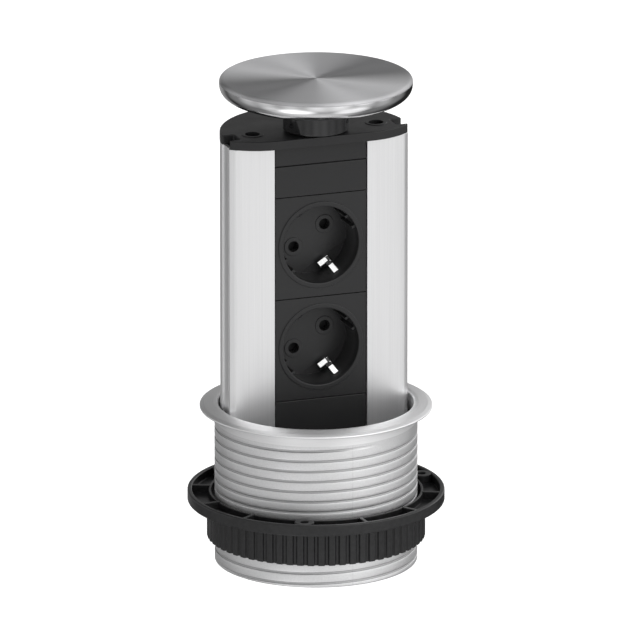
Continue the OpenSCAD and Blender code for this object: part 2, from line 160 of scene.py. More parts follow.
class Graph:
    """A short way to write a material's nodes."""

    def __init__(self, name, metal=0.0, color=(0.5, 0.5, 0.5), rough=0.5, spec=0.5, coat=0.0,
                 coat_rough=0.1, aniso=0.0, aniso_turn=0.0, ior=1.5):
        self.mat = bpy.data.materials.new(name)
        self.mat.use_nodes = True
        self.nt = self.mat.node_tree
        self.nt.nodes.clear()
        out = self.nt.nodes.new("ShaderNodeOutputMaterial")
        self.b = self.nt.nodes.new("ShaderNodeBsdfPrincipled")
        self.nt.links.new(self.b.outputs[0], out.inputs[0])
        i = self.b.inputs
        i["Base Color"].default_value = (*color, 1)
        i["Metallic"].default_value = metal
        i["Roughness"].default_value = rough
        i["Specular IOR Level"].default_value = spec
        i["IOR"].default_value = ior
        i["Coat Weight"].default_value = coat
        i["Coat Roughness"].default_value = coat_rough
        i["Anisotropic"].default_value = aniso
        i["Anisotropic Rotation"].default_value = aniso_turn
        self.mat.diffuse_color = (*color, 1)
        self._mm = None

    def link(self, a, b):
        self.nt.links.new(a, b)

    def set(self, socket, value):
        if hasattr(value, "is_output"):
            self.link(value, socket)
        else:
            socket.default_value = value

    def mm(self):
        """Object coordinates in millimetres."""
        if self._mm is None:
            tc = self.nt.nodes.new("ShaderNodeTexCoord")
            v = self.nt.nodes.new("ShaderNodeVectorMath")
            v.operation = "SCALE"
            self.link(tc.outputs["Object"], v.inputs[0])
            v.inputs["Scale"].default_value = 1000
            self._mm = v.outputs[0]
        return self._mm

    def xyz(self, vec=None):
        s = self.nt.nodes.new("ShaderNodeSeparateXYZ")
        self.link(vec if vec is not None else self.mm(), s.inputs[0])
        return s.outputs[0], s.outputs[1], s.outputs[2]

    def vec(self, x, y, z):
        c = self.nt.nodes.new("ShaderNodeCombineXYZ")
        for k, v in enumerate((x, y, z)):
            self.set(c.inputs[k], v)
        return c.outputs[0]

    def mul(self, vec, s):
        v = self.nt.nodes.new("ShaderNodeVectorMath")
        v.operation = "MULTIPLY"
        self.link(vec, v.inputs[0])
        v.inputs[1].default_value = s
        return v.outputs[0]

    def math(self, op, a, b=0.0, c=0.0):
        m = self.nt.nodes.new("ShaderNodeMath")
        m.operation = op
        for k, v in enumerate((a, b, c)):
            self.set(m.inputs[k], v)
        return m.outputs[0]

    def noise(self, vec, scale=1.0, detail=3.0, rough=0.55, distort=0.0):
        n = self.nt.nodes.new("ShaderNodeTexNoise")
        self.link(vec, n.inputs["Vector"])
        n.inputs["Scale"].default_value = scale
        n.inputs["Detail"].default_value = detail
        n.inputs["Roughness"].default_value = rough
        n.inputs["Distortion"].default_value = distort
        return n.outputs[0]

    def line_noise(self, w, scale=1.0, detail=3.0, rough=0.6):
        n = self.nt.nodes.new("ShaderNodeTexNoise")
        n.noise_dimensions = "1D"
        self.link(w, n.inputs["W"])
        n.inputs["Scale"].default_value = scale
        n.inputs["Detail"].default_value = detail
        n.inputs["Roughness"].default_value = rough
        return n.outputs[0]

    def cells(self, vec, scale, feature="F1"):
        n = self.nt.nodes.new("ShaderNodeTexVoronoi")
        n.feature = feature
        self.link(vec, n.inputs["Vector"])
        n.inputs["Scale"].default_value = scale
        return n.outputs["Distance"]

    def span(self, v, lo, hi, to_lo, to_hi, kind="LINEAR"):
        m = self.nt.nodes.new("ShaderNodeMapRange")
        m.interpolation_type = kind
        self.link(v, m.inputs[0])
        for k, x in zip((1, 2, 3, 4), (lo, hi, to_lo, to_hi)):
            m.inputs[k].default_value = x
        return m.outputs[0]

    def mix(self, fac, a, b):
        m = self.nt.nodes.new("ShaderNodeMix")
        m.data_type = "RGBA"
        self.set(m.inputs[0], fac)
        for k, c in ((6, a), (7, b)):
            if hasattr(c, "is_output"):
                self.link(c, m.inputs[k])
            else:
                m.inputs[k].default_value = (*c, 1)
        return m.outputs[2]

    def bump(self, height, dist_mm, strength=1.0, under=None):
        b = self.nt.nodes.new("ShaderNodeBump")
        b.inputs["Strength"].default_value = strength
        b.inputs["Distance"].default_value = dist_mm * MM
        self.link(height, b.inputs["Height"])
        if under is not None:
            self.link(under, b.inputs["Normal"])
        return b.outputs[0]

    def tangent_round_z(self):
        t = self.nt.nodes.new("ShaderNodeTangent")
        t.direction_type = "RADIAL"
        t.axis = "Z"
        self.link(t.outputs[0], self.b.inputs["Tangent"])

    def use(self, color=None, rough=None, normal=None, coat_normal=None):
        if color is not None:
            self.link(color, self.b.inputs["Base Color"])
        if rough is not None:
            self.link(rough, self.b.inputs["Roughness"])
        if normal is not None:
            self.link(normal, self.b.inputs["Normal"])
        if coat_normal is not None:
            self.link(coat_normal, self.b.inputs["Coat Normal"])
        return self.mat


# ---------------------------------------------------------------- materials


def mat_brushed_cap():
    """Stainless disc with fine turned lines round its middle."""
    g = Graph("brushed_cap", metal=1, color=(0.56, 0.56, 0.57), rough=0.45, aniso=0.97, aniso_turn=0.25)
    x, y, z = g.xyz()
    r = g.math("SQRT", g.math("ADD", g.math("MULTIPLY", x, x), g.math("MULTIPLY", y, y)))
    a = g.math("ARCTAN2", y, x)
    rings = g.line_noise(r, 5.0, 5.0, 0.7)
    broken = g.noise(g.vec(g.math("MULTIPLY", r, 7.0), g.math("MULTIPLY", a, 2.2), z), 1.0, 4.0, 0.6)
    both = g.math("ADD", g.math("MULTIPLY", rings, 0.5), g.math("MULTIPLY", broken, 0.5))
    cloud = g.noise(g.mm(), 0.045, 2.0)
    color = g.mix(g.span(both, 0.3, 0.7, 0, 1), (0.52, 0.52, 0.53), (0.62, 0.62, 0.63))
    rough = g.math("ADD", g.span(both, 0.3, 0.7, 0.42, 0.48), g.span(cloud, 0.3, 0.7, -0.01, 0.02))
    g.tangent_round_z()
    return g.use(color, rough, g.bump(both, 0.004, 0.5))


def mat_polished_cap():
    """Spun steel, nearly a mirror, with faint spinning lines."""
    g = Graph("polished_cap", metal=1, color=(0.74, 0.74, 0.75), rough=0.09, aniso=0.55, aniso_turn=0.25)
    x, y, z = g.xyz()
    r = g.math("SQRT", g.math("ADD", g.math("MULTIPLY", x, x), g.math("MULTIPLY", y, y)))
    lines = g.line_noise(g.math("ADD", r, z), 4.0, 4.0, 0.65)
    smear = g.noise(g.mm(), 0.12, 3.0)
    color = g.mix(lines, (0.70, 0.70, 0.71), (0.80, 0.80, 0.81))
    rough = g.math("ADD", g.span(lines, 0.3, 0.7, 0.075, 0.11), g.span(smear, 0.3, 0.7, -0.01, 0.02))
    g.tangent_round_z()
    return g.use(color, rough, g.bump(lines, 0.003, 0.35))


def mat_anodised():
    """Satin anodised extrusion: faint lines run along it, with a very fine grain."""
    g = Graph("anodised_profile", metal=1, color=(0.80, 0.80, 0.805), rough=0.42, aniso=0.35)
    lines = g.noise(g.mul(g.mm(), (2.2, 2.2, 0.012)), 1.0, 5.0, 0.65)
    grain = g.noise(g.mm(), 5.0, 2.0, 0.6)
    drift = g.noise(g.mul(g.mm(), (0.05, 0.05, 0.012)), 1.0, 2.0)
    color = g.mix(g.span(lines, 0.3, 0.7, 0, 1), (0.765, 0.765, 0.77), (0.83, 0.83, 0.835))
    color = g.mix(g.span(grain, 0.35, 0.75, 0.0, 0.12), color, (0.70, 0.70, 0.705))
    rough = g.math("ADD", g.span(lines, 0.3, 0.7, 0.40, 0.46), g.span(drift, 0.3, 0.7, -0.02, 0.02))
    g.tangent_round_z()
    n = g.bump(grain, 0.006, 0.25)
    return g.use(color, rough, g.bump(lines, 0.012, 0.25, n))


def mat_cast():
    """Fine blasted cast aluminium with a faint mould line down its front."""
    g = Graph("cast_aluminium", metal=1, color=(0.74, 0.74, 0.745), rough=0.5)
    x, y, z = g.xyz()
    fine = g.noise(g.mm(), 4.2, 3.0, 0.65)
    mid = g.noise(g.mul(g.mm(), (1.0, 1.0, 1.6)), 1.15, 3.0, 0.6)
    cloud = g.noise(g.mm(), 0.07, 3.0)
    a = g.math("DEGREES", g.math("ARCTAN2", y, x))
    seam = g.math("ABSOLUTE", g.math("ADD", a, 88.6))
    seam = g.span(seam, 0.12, 0.3, 1.0, 0.0, "SMOOTHSTEP")
    seam2 = g.math("ABSOLUTE", g.math("ADD", a, -91.4))
    seam = g.math("MAXIMUM", seam, g.span(seam2, 0.12, 0.3, 1.0, 0.0, "SMOOTHSTEP"))
    color = g.mix(g.span(mid, 0.3, 0.7, 0, 1), (0.70, 0.70, 0.705), (0.79, 0.79, 0.795))
    color = g.mix(g.span(fine, 0.45, 0.8, 0.0, 0.45), color, (0.60, 0.60, 0.605))
    color = g.mix(g.math("MULTIPLY", seam, 0.25), color, (0.45, 0.45, 0.455))
    # painted shade: the thread groove is painted darker, standing in for the shade that falls in it
    r = g.math("SQRT", g.math("ADD", g.math("MULTIPLY", x, x), g.math("MULTIPLY", y, y)))
    low = g.math("MULTIPLY", g.span(r, 49.4, 49.8, 1.0, 0.0, "SMOOTHSTEP"), g.span(r, 48.4, 48.6, 0.0, 1.0))
    color = g.mix(g.math("MULTIPLY", low, 0.6), color, (0.26, 0.26, 0.265))
    rough = g.math("ADD", g.span(mid, 0.3, 0.7, 0.44, 0.53), g.span(cloud, 0.3, 0.7, -0.03, 0.03))
    n = g.bump(fine, 0.03, 0.3)
    n = g.bump(mid, 0.05, 0.25, n)
    return g.use(color, rough, g.bump(seam, 0.05, 0.5, n))


def mat_satin():
    """Turned and satin-finished flange."""
    g = Graph("satin_aluminium", metal=1, color=(0.84, 0.84, 0.845), rough=0.5, aniso=0.2, aniso_turn=0.25)
    x, y, z = g.xyz()
    r = g.math("SQRT", g.math("ADD", g.math("MULTIPLY", x, x), g.math("MULTIPLY", y, y)))
    a = g.math("ARCTAN2", y, x)
    turned = g.noise(g.vec(g.math("MULTIPLY", r, 5.0), g.math("MULTIPLY", z, 5.0), g.math("MULTIPLY", a, 3.0)), 1.0, 4.0, 0.65)
    grain = g.noise(g.mm(), 4.5, 3.0, 0.6)
    color = g.mix(g.span(turned, 0.3, 0.7, 0, 1), (0.81, 0.81, 0.815), (0.89, 0.89, 0.895))
    color = g.mix(g.span(grain, 0.45, 0.8, 0.0, 0.3), color, (0.72, 0.72, 0.725))
    rough = g.span(turned, 0.3, 0.7, 0.46, 0.54)
    g.tangent_round_z()
    n = g.bump(grain, 0.02, 0.22)
    return g.use(color, rough, g.bump(turned, 0.01, 0.3, n))


def mat_moulded(name="moulded_black", base=(0.009, 0.009, 0.0094), light=(0.015, 0.015, 0.0156), rough=0.42):
    """Black plastic from a finely spark-eroded mould."""
    g = Graph(name, color=base, rough=rough, spec=0.34)
    tex = g.cells(g.mm(), 2.6)
    fine = g.noise(g.mm(), 3.6, 3.0, 0.6)
    flow = g.noise(g.mul(g.mm(), (0.08, 0.08, 0.05)), 1.0, 3.0)
    color = g.mix(g.span(fine, 0.3, 0.75, 0, 1), base, light)
    r = g.math("ADD", g.span(fine, 0.3, 0.7, rough - 0.04, rough + 0.06), g.span(flow, 0.3, 0.7, -0.03, 0.03))
    n = g.bump(tex, 0.02, 0.18)
    return g.use(color, r, g.bump(fine, 0.02, 0.2, n))


def mat_socket():
    """The same plastic with a smoother skin in the recess; the recess floor is painted paler, as painted light."""
    g = Graph("socket_black", color=(0.009, 0.009, 0.0094), rough=0.42, spec=0.36)
    x, y, z = g.xyz()
    deep = g.span(y, -6.0, -1.0, 0.0, 1.0, "SMOOTHSTEP")
    tex = g.cells(g.mm(), 2.6)
    fine = g.noise(g.mm(), 3.6, 3.0, 0.6)
    flow = g.noise(g.mul(g.mm(), (0.08, 0.05, 0.08)), 1.0, 3.0)
    skin = g.span(fine, 0.3, 0.75, 0, 1)
    face = g.mix(skin, (0.009, 0.009, 0.0094), (0.015, 0.015, 0.0156))
    # painted light: the recess floor is painted paler than the face, standing in for light falling on it
    floor = g.mix(skin, (0.02, 0.02, 0.0206), (0.03, 0.03, 0.031))
    even = g.span(fine, 0.3, 0.7, 0.38, 0.48)
    r = g.math("ADD", g.math("SUBTRACT", even, g.math("MULTIPLY", deep, 0.1)), g.span(flow, 0.3, 0.7, -0.03, 0.03))
    n = g.bump(tex, 0.02, 0.15)
    return g.use(g.mix(deep, face, floor), r, g.bump(fine, 0.02, 0.18, n))


def mat_gloss():
    """Gloss black moulded neck."""
    g = Graph("gloss_black", color=(0.008, 0.008, 0.0085), rough=0.1, spec=0.55)
    wave = g.noise(g.mm(), 0.12, 2.0)
    micro = g.noise(g.mm(), 2.0, 3.0, 0.6)
    color = g.mix(micro, (0.006, 0.006, 0.0065), (0.011, 0.011, 0.0115))
    r = g.math("ADD", g.span(micro, 0.3, 0.7, 0.07, 0.12), g.span(wave, 0.3, 0.7, -0.01, 0.02))
    return g.use(color, r, g.bump(wave, 0.05, 0.3))


def mat_nylon():
    """Dark glass-filled nylon: dull, with a mottled skin."""
    g = Graph("dark_nylon", color=(0.008, 0.008, 0.0085), rough=0.34, spec=0.4)
    mottle = g.noise(g.mm(), 0.55, 4.0, 0.6, 0.4)
    fine = g.noise(g.mm(), 4.0, 3.0, 0.6)
    flow = g.noise(g.mul(g.mm(), (0.05, 0.05, 0.12)), 1.0, 3.0, 0.5, 1.2)
    color = g.mix(g.span(mottle, 0.3, 0.7, 0, 1), (0.005, 0.005, 0.0053), (0.012, 0.012, 0.0127))
    r = g.math("ADD", g.span(mottle, 0.3, 0.7, 0.31, 0.41), g.span(flow, 0.3, 0.7, -0.04, 0.04))
    n = g.bump(fine, 0.02, 0.2)
    return g.use(color, r, g.bump(mottle, 0.05, 0.15, n))


def mat_insulator():
    g = Graph("pale_insulator", color=(0.62, 0.60, 0.54), rough=0.5)
    fine = g.noise(g.mm(), 2.5, 3.0)
    flow = g.noise(g.mm(), 0.15, 3.0, 0.5, 1.0)
    color = g.mix(g.span(flow, 0.3, 0.7, 0, 1), (0.58, 0.565, 0.51), (0.67, 0.655, 0.60))
    return g.use(color, g.span(fine, 0.3, 0.7, 0.45, 0.56), g.bump(fine, 0.02, 0.2))


def mat_shutter():
    g = Graph("shutter_grey", color=(0.006, 0.006, 0.0063), rough=0.5, spec=0.25)
    fine = g.noise(g.mm(), 3.5, 3.0)
    color = g.mix(g.span(fine, 0.3, 0.7, 0, 1), (0.004, 0.004, 0.0042), (0.009, 0.009, 0.0095))
    return g.use(color, g.span(fine, 0.3, 0.7, 0.44, 0.54), g.bump(fine, 0.02, 0.2))


def mat_brass():
    g = Graph("contact_brass", metal=1, color=(0.80, 0.58, 0.26), rough=0.3)
    rolled = g.noise(g.mul(g.mm(), (4.0, 4.0, 0.15)), 1.0, 4.0, 0.6)
    tarnish = g.noise(g.mm(), 0.25, 4.0, 0.6)
    color = g.mix(g.span(tarnish, 0.35, 0.75, 0, 1), (0.84, 0.62, 0.29), (0.62, 0.42, 0.18))
    r = g.math("ADD", g.span(rolled, 0.3, 0.7, 0.22, 0.34), g.span(tarnish, 0.3, 0.7, 0, 0.06))
    return g.use(color, r, g.bump(rolled, 0.01, 0.25))


def mat_earth():
    """Bright nickelled spring strip."""
    g = Graph("earth_steel", metal=1, color=(0.80, 0.80, 0.80), rough=0.16)
    rolled = g.noise(g.mul(g.mm(), (3.0, 0.3, 3.0)), 1.0, 4.0, 0.6)
    spots = g.noise(g.mm(), 0.9, 3.0)
    color = g.mix(g.span(spots, 0.3, 0.7, 0, 1), (0.95, 0.95, 0.95), (0.87, 0.87, 0.865))
    r = g.math("ADD", g.span(rolled, 0.3, 0.7, 0.12, 0.2), g.span(spots, 0.3, 0.7, -0.02, 0.03))
    return g.use(color, r, g.bump(rolled, 0.006, 0.3))


def mat_screw():
    """Bright zinc plate."""
    g = Graph("screw_steel", metal=1, color=(0.55, 0.55, 0.56), rough=0.3)
    spangle = g.cells(g.mm(), 0.9)
    fine = g.noise(g.mm(), 3.0, 3.0)
    color = g.mix(g.span(spangle, 0.1, 0.7, 0, 1), (0.62, 0.62, 0.63), (0.48, 0.48, 0.50))
    return g.use(color, g.span(fine, 0.3, 0.7, 0.24, 0.36), g.bump(fine, 0.01, 0.3))


def mat_black_screw():
    """Blackened steel, a little rubbed."""
    g = Graph("blackened_steel", metal=1, color=(0.05, 0.05, 0.052), rough=0.38)
    fine = g.noise(g.mm(), 3.0, 3.0)
    rub = g.noise(g.mm(), 0.8, 3.0)
    color = g.mix(g.span(rub, 0.4, 0.8, 0, 1), (0.035, 0.035, 0.037), (0.09, 0.09, 0.094))
    return g.use(color, g.span(fine, 0.3, 0.7, 0.32, 0.46), g.bump(fine, 0.01, 0.3))


def mat_foam():
    g = Graph("foam", color=(0.02, 0.02, 0.02), rough=0.85, spec=0.3)
    cells = g.cells(g.mm(), 1.6)
    fine = g.noise(g.mm(), 3.0, 3.0)
    color = g.mix(g.span(cells, 0.1, 0.6, 0, 1), (0.012, 0.012, 0.012), (0.035, 0.035, 0.035))
    return g.use(color, g.span(fine, 0.3, 0.7, 0.78, 0.92), g.bump(cells, 0.12, 0.5))


MATS = {
    "brushed_cap": mat_brushed_cap(), "polished_cap": mat_polished_cap(),
    "anodised_profile": mat_anodised(), "cast_aluminium": mat_cast(), "satin_aluminium": mat_satin(),
    "moulded_black": mat_moulded(), "gloss_black": mat_gloss(), "dark_nylon": mat_nylon(),
    "pale_insulator": mat_insulator(), "shutter_grey": mat_shutter(), "contact_brass": mat_brass(),
    "earth_steel": mat_earth(), "screw_steel": mat_screw(), "blackened_steel": mat_black_screw(),
    "foam": mat_foam(),
}

# ---------------------------------------------------------------- mesh helpers


def finish_mesh(me, sharp):
    me.shade_smooth()
    me.set_sharp_from_angle(angle=math.radians(sharp))


def weighted(ob):
    """Area-weighted normals, so that flat faces stay flat beside their rounded edges."""
    m = ob.modifiers.new("normals", "WEIGHTED_NORMAL")
    m.keep_sharp = True
    m.weight = 60
    dg = bpy.context.evaluated_depsgraph_get()
    me = bpy.data.meshes.new_from_object(ob.evaluated_get(dg))
    ob.modifiers.clear()
    old, ob.data = ob.data, me
    bpy.data.meshes.remove(old)


def place(name, bm, node, sharp=50, weigh=True):
    """Makes the object from bm (metres), in place of the CAD node."""
    bmesh.ops.recalc_face_normals(bm, faces=bm.faces)
    me = bpy.data.meshes.new(name)
    bm.to_mesh(me)
    bm.free()
    finish_mesh(me, sharp)
    ob = bpy.data.objects.new(name, me)
    scene.collection.objects.link(ob)
    me.materials.append(MATS[SLOT[node]])
    if weigh:
        weighted(ob)
    ob.data.name = name
    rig.replaces(ob, node)
    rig.ride(ob, BODY[node])
    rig.slot(ob, SLOT[node])
    return ob


def fillet(points, steps=4):
    """Rounds the corners of a closed profile. A point is (x, y) or (x, y, radius)."""
    out = []
    n = len(points)
    for k in range(n):
        p = points[k]
        c = Vector(p[:2])
        r = p[2] if len(p) > 2 else 0
        a, b = Vector(points[k - 1][:2]), Vector(points[(k + 1) % n][:2])
        u, v = (a - c), (b - c)
        if r <= 0 or u.length < 1e-6 or v.length < 1e-6:
            out.append((c.x, c.y))
            continue
        ang = u.angle(v)
        if ang > math.pi - 0.02:
            out.append((c.x, c.y))
            continue
        t = min(r / math.tan(ang / 2), 0.49 * u.length, 0.49 * v.length)
        r = t * math.tan(ang / 2)
        u.normalize()
        v.normalize()
        mid = c + (u + v).normalized() * (r / math.sin(ang / 2))
        s, e = c + u * t - mid, c + v * t - mid
        turn = s.angle_signed(e)
        for i in range(steps + 1):
            w = s.copy()
            w.rotate(__import__("mathutils").Matrix.Rotation(-turn * i / steps, 2))
            out.append((mid.x + w.x, mid.y + w.y))
    return out


def lathe(profile, seg=256, axis_open=False):
    """Turns a profile of (r, z) in mm round Z. The profile is closed, or open from axis to axis."""
    bm = bmesh.new()
    rings = []
    for r, z in profile:
        if r < 1e-6:
            v = bm.verts.new((0, 0, z * MM))
            rings.append([v] * seg)
        else:
            rings.append([bm.verts.new((r * MM * math.cos(2 * math.pi * j / seg),
                                        r * MM * math.sin(2 * math.pi * j / seg), z * MM)) for j in range(seg)])
    n = len(rings)
    for k in range(n - 1 if axis_open else n):
        a, b = rings[k], rings[(k + 1) % n]
        for j in range(seg):
            q = (j + 1) % seg
            vs = []
            for v in (a[j], a[q], b[q], b[j]):
                if v not in vs:
                    vs.append(v)
            if len(vs) > 2:
                bm.faces.new(vs)
    return bm


def from_node(node):
    """The CAD node's mesh with its doubled points joined and its flat faces whole."""
    bm = bmesh.new()
    bm.from_mesh(nodes[node].data)
    bmesh.ops.remove_doubles(bm, verts=bm.verts, dist=1e-6)
    bmesh.ops.dissolve_limit(bm, angle_limit=math.radians(0.35), verts=bm.verts, edges=bm.edges)
    bm.normal_update()
    return bm


def sharp_edges(bm, test=None, limit=33):
    out = []
    for e in bm.edges:
        if len(e.link_faces) == 2 and math.degrees(e.calc_face_angle(0)) > limit:
            p = (e.verts[0].co + e.verts[1].co) * 500
            if test is None or test(p.x, p.y, p.z):
                out.append(e)
    return out


def bevel(bm, edges, width, segs):
    if edges:
        bmesh.ops.bevel(bm, geom=edges, offset=width * MM, offset_type="OFFSET", segments=segs,
                        profile=0.5, affect="EDGES", clamp_overlap=False, loop_slide=True)
        bm.normal_update()


def rounded(node, width, segs=3, rules=(), name=None, limit=33):
    """The CAD node with its edges rounded. A rule is (test, width, segments)."""
    bm = from_node(node)
    for test, w, n in rules:
        bevel(bm, sharp_edges(bm, test, limit), w, n)
    if width:
        bevel(bm, sharp_edges(bm, None, limit), width, segs)
    return place(name or node + "_skin", bm, node)


# ---------------------------------------------------------------- cap and neck

CAP_R, CAP_TOP, RIM_Z, SEAM_Z, BOWL_H, SEAT_R = 47.35, 167.4, 164.4, 165.6, 9.5, 16.7
DISH = 0.4


def make_cap():
    # the disc is turned very slightly hollow, and rolls over into the rim
    top = [(0.0, CAP_TOP - DISH), (0.35, CAP_TOP - DISH)]
    for k in range(1, 46):
        r = k * 44.8 / 45
        top.append((r, CAP_TOP - DISH * (1 - (r / 44.8) ** 2)))
    rim = [(45.3, CAP_TOP - 0.01), (45.8, CAP_TOP - 0.06), (46.25, CAP_TOP - 0.2), (46.62, CAP_TOP - 0.42),
           (46.9, CAP_TOP - 0.7), (47.1, CAP_TOP - 1.02), (47.24, CAP_TOP - 1.36), (47.31, CAP_TOP - 1.62),
           (47.31, SEAM_Z + 0.04), (47.2, SEAM_Z)]
    under = [(0.0, SEAM_Z)]
    place("cap_disc_skin", lathe(top + rim + under, 288, True), "cap_disc", 40, False)

    def drop(r):
        return BOWL_H * max(0.0, 1 - (r / CAP_R) ** 6) ** 0.45

    outer = [(47.2, SEAM_Z), (47.32, SEAM_Z - 0.05), (CAP_R, SEAM_Z - 0.4), (CAP_R, RIM_Z)]
    for k in range(1, 61):
        r = CAP_R - (CAP_R - SEAT_R) * (k / 60) ** 1.7
        outer.append((r, RIM_Z - drop(r)))
    seat = RIM_Z - drop(SEAT_R)
    prof = outer + [(2.6, seat), (2.6, seat + 1.6)]
    inner = []
    for k in range(0, 41):
        r = SEAT_R + (44.2 - SEAT_R) * k / 40
        inner.append((r - 0.3, RIM_Z - drop(r) + 1.6))
    prof += inner + [(45.35, RIM_Z), (45.35, SEAM_Z)]
    place("cap_bowl_skin", lathe(prof, 288), "cap_bowl", 50, False)

    z0 = 140.7
    neck = fillet([(12.6, z0), (12.6, z0 + 1.0), (16.1, z0 + 1.0, 0.5), (16.1, seat, 0.35), (2.6, seat), (2.6, z0)])
    place("cap_neck_skin", lathe(neck, 192), "cap_neck", 40, True)


make_cap()

# ---------------------------------------------------------------- flange and barrel


def make_flange():
    prof = fillet([
        (48.1, -6.0), (49.9, -6.0), (49.9, 0.0, 0.35), (51.4, 0.0), (51.4, 0.8), (56.2, 0.8), (56.2, 0.0, 0.1),
        (56.75, 0.0, 0.3), (57.2, 0.35, 0.4), (57.2, 0.9, 0.4), (56.7, 1.2, 0.8), (55.0, 1.85, 2.5),
        (52.5, 2.3, 4.0), (50.5, 2.6, 3.0), (48.75, 2.6, 0.5), (48.1, 1.95, 0.5)], 6)
    place("flange_ring_skin", lathe(prof, 288), "flange_ring", 50, False)


def smooth(x):
    x = min(1.0, max(0.0, x))
    return x * x * (3 - 2 * x)


def make_barrel():
    R, BORE, TOP, BOT, PITCH, DEPTH, Z0 = 49.9, 47.94, -6.0, -78.2, 5.2, 0.6, -6.8
    cols = 240
    groove = [(-0.8, 0), (-0.71, 0.04), (-0.63, 0.2), (-0.54, 0.6), (-0.47, 0.9), (-0.38, 1.0), (0.38, 1.0),
              (0.47, 0.9), (0.54, 0.6), (0.63, 0.2), (0.71, 0.04), (0.8, 0), (1.9, 0), (3.3, 0)]
    g = len(groove)
    lo, hi = -15, 1
    rows = g * (hi - lo + 1)
    z_lo = BOT + 0.7

    def raw(i, j):
        return Z0 + PITCH * (lo + i // g + j / cols) + groove[i % g][0]

    def depth(i, j, z):
        share = groove[i % g][1]
        turn = 360.0 * (lo + i // g + j / cols)          # how far round the helix, 0 at the top
        share *= smooth((-70.0 - turn) / 42.0)           # the groove runs out in front
        share *= min(1.0, max(0.0, (z - z_lo) / 0.5))
        return DEPTH * share

    bm = bmesh.new()
    grid = []
    for i in range(rows):
        row = []
        for j in range(cols):
            z = min(max(raw(i, j), z_lo), TOP)
            r = R - depth(i, j, z)
            a = 2 * math.pi * j / cols
            row.append(bm.verts.new((r * math.cos(a) * MM, r * math.sin(a) * MM, z * MM)))
        grid.append(row)

    def ring(r, z):
        return [bm.verts.new((r * math.cos(2 * math.pi * j / cols) * MM,
                              r * math.sin(2 * math.pi * j / cols) * MM, z * MM)) for j in range(cols)]

    def nxt(i, j):
        return grid[i][j + 1] if j < cols - 1 else grid[min(i + g, rows - 1)][0]

    for i in range(rows - 1):
        for j in range(cols):
            vs = [grid[i][j], nxt(i, j), nxt(i + 1, j), grid[i + 1][j]]
            if len({tuple(round(c, 8) for c in v.co) for v in vs}) > 2:
                bm.faces.new(vs)
    loops = [grid[-1], ring(BORE, TOP), ring(BORE, BOT + 0.4), ring(BORE + 0.4, BOT), ring(R - 0.75, BOT),
             ring(R - 0.35, BOT + 0.18), ring(R - 0.08, BOT + 0.45), grid[0]]
    for a, b in zip(loops, loops[1:]):
        for j in range(cols):
            q = (j + 1) % cols
            bm.faces.new((a[j], b[j], b[q], a[q]))
    bmesh.ops.remove_doubles(bm, verts=bm.verts, dist=2e-7)
    bmesh.ops.dissolve_degenerate(bm, dist=1e-7, edges=bm.edges)
    place("threaded_barrel_skin", bm, "threaded_barrel", 60, False)


make_flange()
make_barrel()

# ---------------------------------------------------------------- clamp


def solid(bm):
    """A loose object for a boolean step."""
    bmesh.ops.recalc_face_normals(bm, faces=bm.faces)
    me = bpy.data.meshes.new("tool")
    bm.to_mesh(me)
    bm.free()
    ob = bpy.data.objects.new("tool", me)
    scene.collection.objects.link(ob)
    return ob


def combine(a, b, op):
    """a with b added or cut out; b is used up."""
    m = a.modifiers.new("bool", "BOOLEAN")
    m.operation, m.object, m.solver = op, b, "EXACT"
    dg = bpy.context.evaluated_depsgraph_get()
    me = bpy.data.meshes.new_from_object(a.evaluated_get(dg))
    a.modifiers.clear()
    old, a.data = a.data, me
    bpy.data.meshes.remove(old)
    used = b.data
    bpy.data.objects.remove(b)
    bpy.data.meshes.remove(used)
    return a


def to_bm(ob):
    bm = bmesh.new()
    bm.from_mesh(ob.data)
    me = ob.data
    bpy.data.objects.remove(ob)
    bpy.data.meshes.remove(me)
    return bm


def joined(parts):
    """Several bmeshes in one."""
    bm = bmesh.new()
    for p in parts:
        me = bpy.data.meshes.new("part")
        p.to_mesh(me)
        p.free()
        bm.from_mesh(me)
        bpy.data.meshes.remove(me)
    return bm


def turned_part(bm, deg, at=(0, 0, 0)):
    """Moves a bmesh by at (mm), then turns it round Z."""
    bmesh.ops.translate(bm, verts=bm.verts, vec=Vector(at) * MM)
    c, s = math.cos(math.radians(deg)), math.sin(math.radians(deg))
    for v in bm.verts:
        x, y = v.co.x, v.co.y
        v.co.x, v.co.y = c * x - s * y, s * x + c * y
    return bm


def block(x0, x1, y0, y1, z0, z1, r=0.3, segs=3):
    """A box with rounded edges."""
    bm = bmesh.new()
    bmesh.ops.create_cube(bm, size=1)
    for v in bm.verts:
        v.co = Vector(((x0 + x1) / 2 + v.co.x * (x1 - x0), (y0 + y1) / 2 + v.co.y * (y1 - y0),
                       (z0 + z1) / 2 + v.co.z * (z1 - z0))) * MM
    if r:
        bevel(bm, list(bm.edges), r, segs)
    return bm


